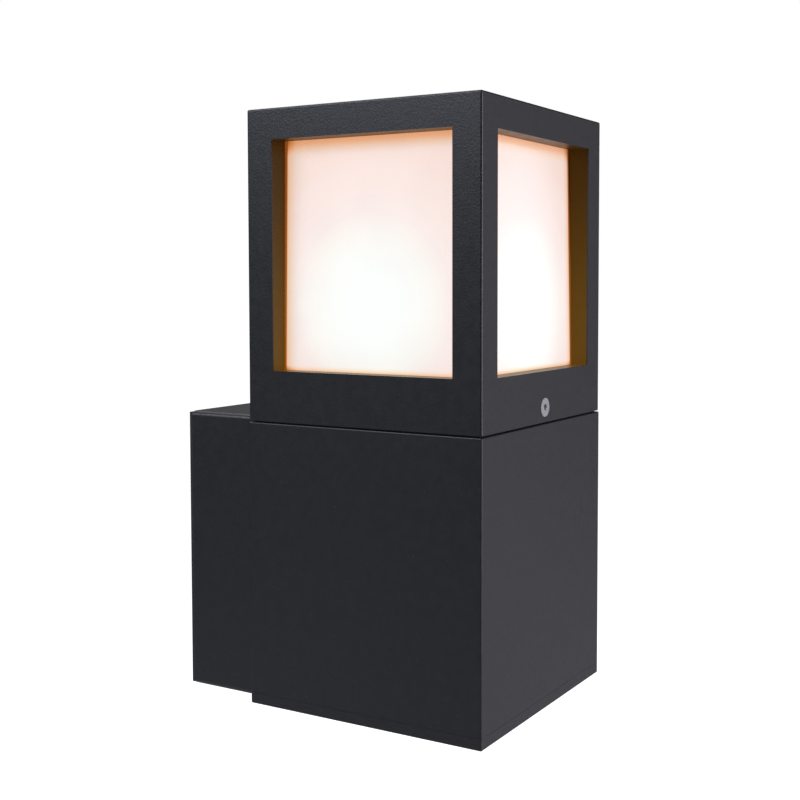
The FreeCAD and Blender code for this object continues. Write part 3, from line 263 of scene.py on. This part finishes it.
make_world()
make_floor()
middle = (Vector(cad_box[0]) + Vector(cad_box[1])) / 2
head_middle = middle + Vector((0.0, 0.0, HEAD_RISE))
make_light("right_softbox", (1.164, -1.113, 0.0), middle, size=(0.8, 1.2), watts=1.9, tint=FRONT_TINT)
make_light("front_softbox", (0.3, -1.6, 0.2), middle, size=(0.8, 1.0), watts=16.0, tint=FRONT_TINT)
make_light("left_softbox", (-1.1, 0.65, 0.0), middle, size=(0.7, 1.0), watts=0.62, tint=SIDE_TINT)
make_light("upper_softbox", (-1.0, 0.55, 0.75), head_middle, size=(0.8, 0.4), watts=8.5, tint=SIDE_TINT)
make_light("top_softbox", (0.3, 0.7, 1.3), middle, size=(0.9, 0.9), watts=6.0, tint=TOP_TINT)
make_light("rear_card", (1.05, 0.62, 0.40), middle, size=(1.0, 0.5), watts=0.30, tint=TOP_TINT)


# ---------------------------------------------------------------- materials

AXIS = (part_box("lamp_globe")[0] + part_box("lamp_globe")[1]) / 2
FRAME_HALF = (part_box("head_frame")[1].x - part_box("head_frame")[0].x) / 2
GLOW_CENTRE = (AXIS.x, AXIS.y, 0.107)

# The windows: their lower and upper edges, and half their width.
WINDOW_FOOT = 0.0811
WINDOW_TOP = 0.1754
WINDOW_HALF = 0.0424

# Powder coat: its colours, and the scales of its grain, specks and clouds in features per metre.
COAT_DARK = (0.0102, 0.0107, 0.0125)
COAT_PALE = (0.0128, 0.0133, 0.0154)
COAT_SPECK = (0.040, 0.042, 0.047)
COAT_GRAIN = 1500.0
COAT_SPECKS = 1150.0
COAT_CLOUDS = 260.0
SPECK_EDGE = (0.72, 0.80)
CLOUD_EDGE = (0.35, 0.65)
COAT_ROUGH = (0.36, 0.42)
COAT_RELIEF = 0.00009
CLOUD_RELIEF = 0.3

# Painted lamp light on the windows' inner faces: a warm tint, warm reflections and a faint glow, less of it
# towards the top.
REVEAL_PAINTED_GLOW_COLOUR = (0.030, 0.012, 0.001)
REVEAL_PAINTED_REFLECTION_TINT = (1.0, 0.55, 0.15)
REVEAL_PAINTED_GLOW = (1.0, 0.47, 0.06, 1.0)
REVEAL_PAINTED_GLOW_STRENGTH = 0.085
PAINTED_GLOW_LEFT_AT_TOP = 0.2
REVEAL_GLOSS = 0.3
COAT_GLOSS = 0.5

# How deep under the frame's faces the reveals start, and how they end past the windows' edges.
SKIN = (0.0008, 0.0003)
SILL_END = (0.0015, 0.0005)
SOFFIT_END = (0.0010, 0.0020)

# The diffuser's glow by distance from the lamp, and its painted amber shade by nearness to the window's
# edges.
GLOW_NEAR = 0.045
GLOW_FAR = 0.090
GLOW = [(0.05, (0.855, 0.89, 0.86)), (0.20, (0.85, 0.83, 0.775)), (0.33, (0.84, 0.725, 0.68)),
        (0.48, (0.84, 0.685, 0.63)), (0.60, (0.83, 0.665, 0.61)), (0.71, (0.815, 0.63, 0.555)),
        (1.0, (0.79, 0.58, 0.49))]
# Painted shade colours, from none to full, for the diffuser near the window's edges.
PAINTED_EDGE_SHADE = [(0.0, (1.0, 1.0, 1.0)), (0.25, (1.0, 0.86, 0.68)), (0.5, (0.94, 0.55, 0.27)),
             (0.75, (0.66, 0.28, 0.06)), (1.0, (0.30, 0.09, 0.0))]
EDGE_SHADE_FULL = 2.0

# The diffuser's painted shade bands, where the frame shades it, as distances from the window's edges:
# a wide band and a thin dark painted shadow line at each side, a band under the window's top and one above
# its foot.
SIDE_BAND = (0.0064, 0.0026)
SIDE_LINE = (0.0012, 0.0003)
SIDE_LINE_DEPTH = 1.3
TOP_BAND = (0.0069, 0.0001)
FOOT_BAND = (0.0024, 0.0006)
OPAL_BASE = (0.27, 0.26, 0.25, 1.0)

# The bulb's glow from its neck to its crown.
BULB_GLOW = [(0.0, (0.55, 0.36, 0.20)), (0.30, (0.95, 0.74, 0.52)), (0.60, (1.0, 0.90, 0.76)),
             (1.0, (1.0, 0.84, 0.66))]

# The earth lead's insulation.
STRIPE_PITCH = 0.009
STRIPE_GREEN = (0.035, 0.22, 0.03)
STRIPE_YELLOW = (0.72, 0.60, 0.03)

# Grain drawn out along an axis, as turning and rolling leave it.
ALONG_Z = (1.0, 1.0, 0.1)
ALONG_Y = (1.0, 0.1, 1.0)


def from_axis(shader):
    """Offsets from the lantern's upright axis, as the larger and the smaller of x and y, and z."""
    parts = shader.split(shader.vector("SUBTRACT", shader.place(), (AXIS.x, AXIS.y, 0.0)))
    x = shader.math("ABSOLUTE", parts["X"])
    y = shader.math("ABSOLUTE", parts["Y"])
    return shader.math("MAXIMUM", x, y), shader.math("MINIMUM", x, y), parts["Z"]


def paint_lamp_glow_on_reveals(shader, colour):
    """Paints the lamp's light onto the windows' inner faces as a faint warm glow and warm reflections, and
    returns the coat's colour with their painted warm tint mixed in.
    """
    across, _, height = from_axis(shader)
    inside = shader.remap(across, FRAME_HALF - SKIN[0], FRAME_HALF - SKIN[1], 1.0, 0.0)
    above = shader.remap(height, WINDOW_FOOT - SILL_END[0], WINDOW_FOOT - SILL_END[1])
    below = shader.remap(height, WINDOW_TOP + SOFFIT_END[0], WINDOW_TOP + SOFFIT_END[1], 1.0, 0.0)
    reveal = shader.math("MULTIPLY", inside, shader.math("MULTIPLY", above, below))
    # The painted glow fades towards the window's top.
    glow_share = shader.remap(height, WINDOW_FOOT, WINDOW_TOP, 1.0, PAINTED_GLOW_LEFT_AT_TOP)
    strength = shader.math("MULTIPLY", shader.math("MULTIPLY", reveal, glow_share), REVEAL_PAINTED_GLOW_STRENGTH)
    # Painted lamp light on the reveals: warm-tinted reflections and a faint warm emission.
    shader.sockets(Specular_IOR_Level=shader.remap(reveal, 0.0, 1.0, COAT_GLOSS, REVEAL_GLOSS),
                   Specular_Tint=shader.mix(reveal, (1.0, 1.0, 1.0), REVEAL_PAINTED_REFLECTION_TINT),
                   Emission_Color=REVEAL_PAINTED_GLOW, Emission_Strength=strength)
    # The reveals' colour is given a painted warm tint from the lamp's light.
    return shader.mix(reveal, colour, REVEAL_PAINTED_GLOW_COLOUR)


def powder_coat(name, lit=False):
    """Anthracite fine-textured powder coat. A lit one has the lamp's light painted inside the windows: a
    warm tint, warm reflections and a faint glow.
    """
    shader = Shader(name)
    grain = shader.noise(COAT_GRAIN, detail=2.0)
    clouds = shader.noise(COAT_CLOUDS, detail=3.0)
    specks = shader.remap(shader.noise(COAT_SPECKS, detail=1.0), *SPECK_EDGE)
    colour = shader.mix(shader.remap(clouds, *CLOUD_EDGE), COAT_DARK, COAT_PALE)
    colour = shader.mix(specks, colour, COAT_SPECK)
    if lit:
        # The lamp's light is painted onto the window reveals.
        colour = paint_lamp_glow_on_reveals(shader, colour)
    shader.sockets(Base_Color=colour, Roughness=shader.remap(clouds, LOW, HIGH, *COAT_ROUGH))
    relief = shader.math("ADD", grain, shader.math("MULTIPLY", clouds, CLOUD_RELIEF))
    return shader.bump(relief, COAT_RELIEF, 0.8).material


def opal():
    """Opal diffuser, lit from inside: white beside the lamp, rosy further off, with painted amber shade at
    its edges where the frame shades it.
    """
    shader = Shader("opal_diffuser")
    away = shader.vector("SUBTRACT", shader.place(), GLOW_CENTRE)
    distance = shader.vector("LENGTH", away, (0.0, 0.0, 0.0))
    glow = shader.ramp(shader.remap(distance, GLOW_NEAR, GLOW_FAR, smooth=False), GLOW)
    _, beside, height = from_axis(shader)
    # Painted shade where the frame shades the diffuser: bands at the sides, top and foot, and a thin
    # painted shadow line at each side.
    edges = (
        shader.remap(beside, WINDOW_HALF - SIDE_BAND[0], WINDOW_HALF + SIDE_BAND[1]),
        shader.remap(beside, WINDOW_HALF - SIDE_LINE[0], WINDOW_HALF - SIDE_LINE[1], 0.0, SIDE_LINE_DEPTH),
        shader.remap(height, WINDOW_TOP - TOP_BAND[0], WINDOW_TOP + TOP_BAND[1]),
        shader.remap(height, WINDOW_FOOT + FOOT_BAND[0], WINDOW_FOOT - FOOT_BAND[1]),
    )
    edge = 0.0
    for nearness in edges:
        edge = shader.math("ADD", nearness, edge)
    # Painted shade: the glow turns amber, then dark, towards the window's edges.
    tint = shader.ramp(shader.remap(edge, 0.0, EDGE_SHADE_FULL, smooth=False), PAINTED_EDGE_SHADE)
    clouds = shader.remap(shader.noise(45.0, detail=2.0), LOW, HIGH, 0.985, 1.015)
    shader.sockets(Base_Color=OPAL_BASE, Roughness=0.3, Coat_Weight=0.8, Coat_Roughness=0.06,
                   Emission_Color=shader.vector("MULTIPLY", glow, tint), Emission_Strength=clouds)
    return shader.bump(shader.noise(900.0, detail=2.0), 0.00001, 0.2).material


def lit_globe():
    """The lamp's frosted bulb, glowing warm: brightest round its middle, dimmer down by the neck."""
    shader = Shader("lit_globe")
    foot, crown = (corner.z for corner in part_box("lamp_globe"))
    height = shader.split(shader.place())["Z"]
    glow = shader.ramp(shader.remap(height, foot, crown, smooth=False), BULB_GLOW)
    frost = shader.noise(1400.0, detail=2.0)
    clouds = shader.noise(60.0, detail=2.0)
    shader.sockets(Base_Color=(0.55, 0.54, 0.52, 1.0), Roughness=shader.remap(frost, LOW, HIGH, 0.26, 0.34),
                   Coat_Weight=0.4, Coat_Roughness=0.12, Emission_Color=glow,
                   Emission_Strength=shader.remap(clouds, LOW, HIGH, 0.78, 0.82))
    return shader.bump(frost, 0.00001, 0.4).material


def striped_lead():
    """Green and yellow insulation: the stripes cross the lead in even turns."""
    shader = Shader("green_yellow_insulation")
    parts = shader.split(shader.place())
    along = shader.math("ADD", parts["X"], shader.math("ADD", parts["Y"], parts["Z"]))
    wave = shader.math("SINE", shader.math("MULTIPLY", along, math.tau / STRIPE_PITCH))
    fine = shader.noise(900.0, detail=3.0)
    colour = shader.mix(shader.remap(wave, 0.0, 0.15), STRIPE_GREEN, STRIPE_YELLOW)
    shader.sockets(Base_Color=colour, Roughness=shader.remap(fine, LOW, HIGH, 0.38, 0.50))
    return shader.bump(fine, 0.00002, 0.4).material


def plain(name, colour, rough, metal=0.0, grain=0.1, scale=800.0, stretch=None):
    """A turned, pressed or moulded finish with fine grain in colour, gloss and relief."""
    shader = Shader(name)
    fine = shader.noise(scale, detail=3.0, stretch=stretch)
    clouds = shader.noise(90.0, detail=3.0)
    dark = tuple(channel * (1.0 - grain) for channel in colour)
    light = tuple(min(1.0, channel * (1.0 + grain)) for channel in colour)
    shader.sockets(Base_Color=shader.mix(shader.remap(clouds, LOW, HIGH), dark, light),
                   Roughness=shader.remap(fine, LOW, HIGH, rough * 0.85, rough * 1.15), Metallic=metal)
    return shader.bump(fine, 0.00002, 0.5).material


wear(powder_coat("powder_coat"), "wall_box", "body_box", "bottom_cover")
# The head frame's coat has the lamp's light painted onto its window reveals.
wear(powder_coat("powder_coat_head", lit=True), "head_frame")
wear(opal(), "diffuser")
wear(lit_globe(), "lamp_globe")
wear(striped_lead(), "earth_lead")
wear(plain("zinc_plate", (0.62, 0.63, 0.65), 0.34, 1.0, grain=0.05),
     "wall_bracket", "head_tabs", "lampholder_bracket", "clamp_plates")
wear(plain("turned_zinc", (0.60, 0.61, 0.63), 0.30, 1.0, grain=0.05, stretch=ALONG_Z),
     "lampholder_nut", "lampholder_nipple")
wear(plain("spring_steel", (0.56, 0.56, 0.57), 0.26, 1.0, grain=0.06), "diffuser_clips")
wear(plain("stainless", (0.66, 0.66, 0.68), 0.28, 1.0, grain=0.06),
     "front_head_screw", "rear_head_screw", "bottom_cover_screws", "bracket_fixing_screws")
wear(plain("zinc_screws", (0.58, 0.59, 0.61), 0.32, 1.0, grain=0.08, stretch=ALONG_Y),
     "joining_screws", "lampholder_bracket_screws", "diffuser_clip_screws", "earth_screw",
     "terminal_block_screws", "terminal_screws")
wear(plain("black_rubber", (0.022, 0.022, 0.023), 0.62), "wall_gasket", "joining_gasket", "bottom_gasket")
wear(plain("moulded_rubber", (0.028, 0.028, 0.030), 0.52, scale=1200.0), "cable_grommet", "lead_grommet")
wear(plain("silicone", (0.72, 0.71, 0.69), 0.5, grain=0.03), "diffuser_gasket")
wear(plain("polyamide", (0.82, 0.81, 0.78), 0.42, grain=0.03), "terminal_block")
wear(plain("brass", (0.76, 0.58, 0.27), 0.3, 1.0), "terminal_inserts", "lampholder_contact")
wear(plain("drawn_brass", (0.74, 0.57, 0.28), 0.24, 1.0, stretch=ALONG_Z), "lampholder_shell")
wear(plain("tinned_copper", (0.72, 0.70, 0.66), 0.35, 1.0), "earth_ring_terminal")
wear(plain("brown_insulation", (0.16, 0.07, 0.03), 0.45), "live_lead")
wear(plain("blue_insulation", (0.03, 0.12, 0.45), 0.45), "neutral_lead")
wear(plain("black_moulding", (0.020, 0.020, 0.021), 0.4), "lampholder_cap", "lampholder_sleeve")
wear(plain("porcelain", (0.86, 0.85, 0.82), 0.15, grain=0.02), "lampholder_core")
wear(plain("white_moulding", (0.80, 0.80, 0.79), 0.38, grain=0.02), "lamp_housing")
wear(plain("white_solder_mask", (0.84, 0.84, 0.82), 0.30, grain=0.03), "lamp_led_board")
wear(plain("nickel", (0.74, 0.72, 0.69), 0.22, 1.0, grain=0.05, stretch=ALONG_Z), "lamp_cap")
wear(plain("solder", (0.66, 0.66, 0.66), 0.36, 1.0), "lamp_contact")
wear(plain("black_glass", (0.02, 0.02, 0.02), 0.1), "lamp_insulator")
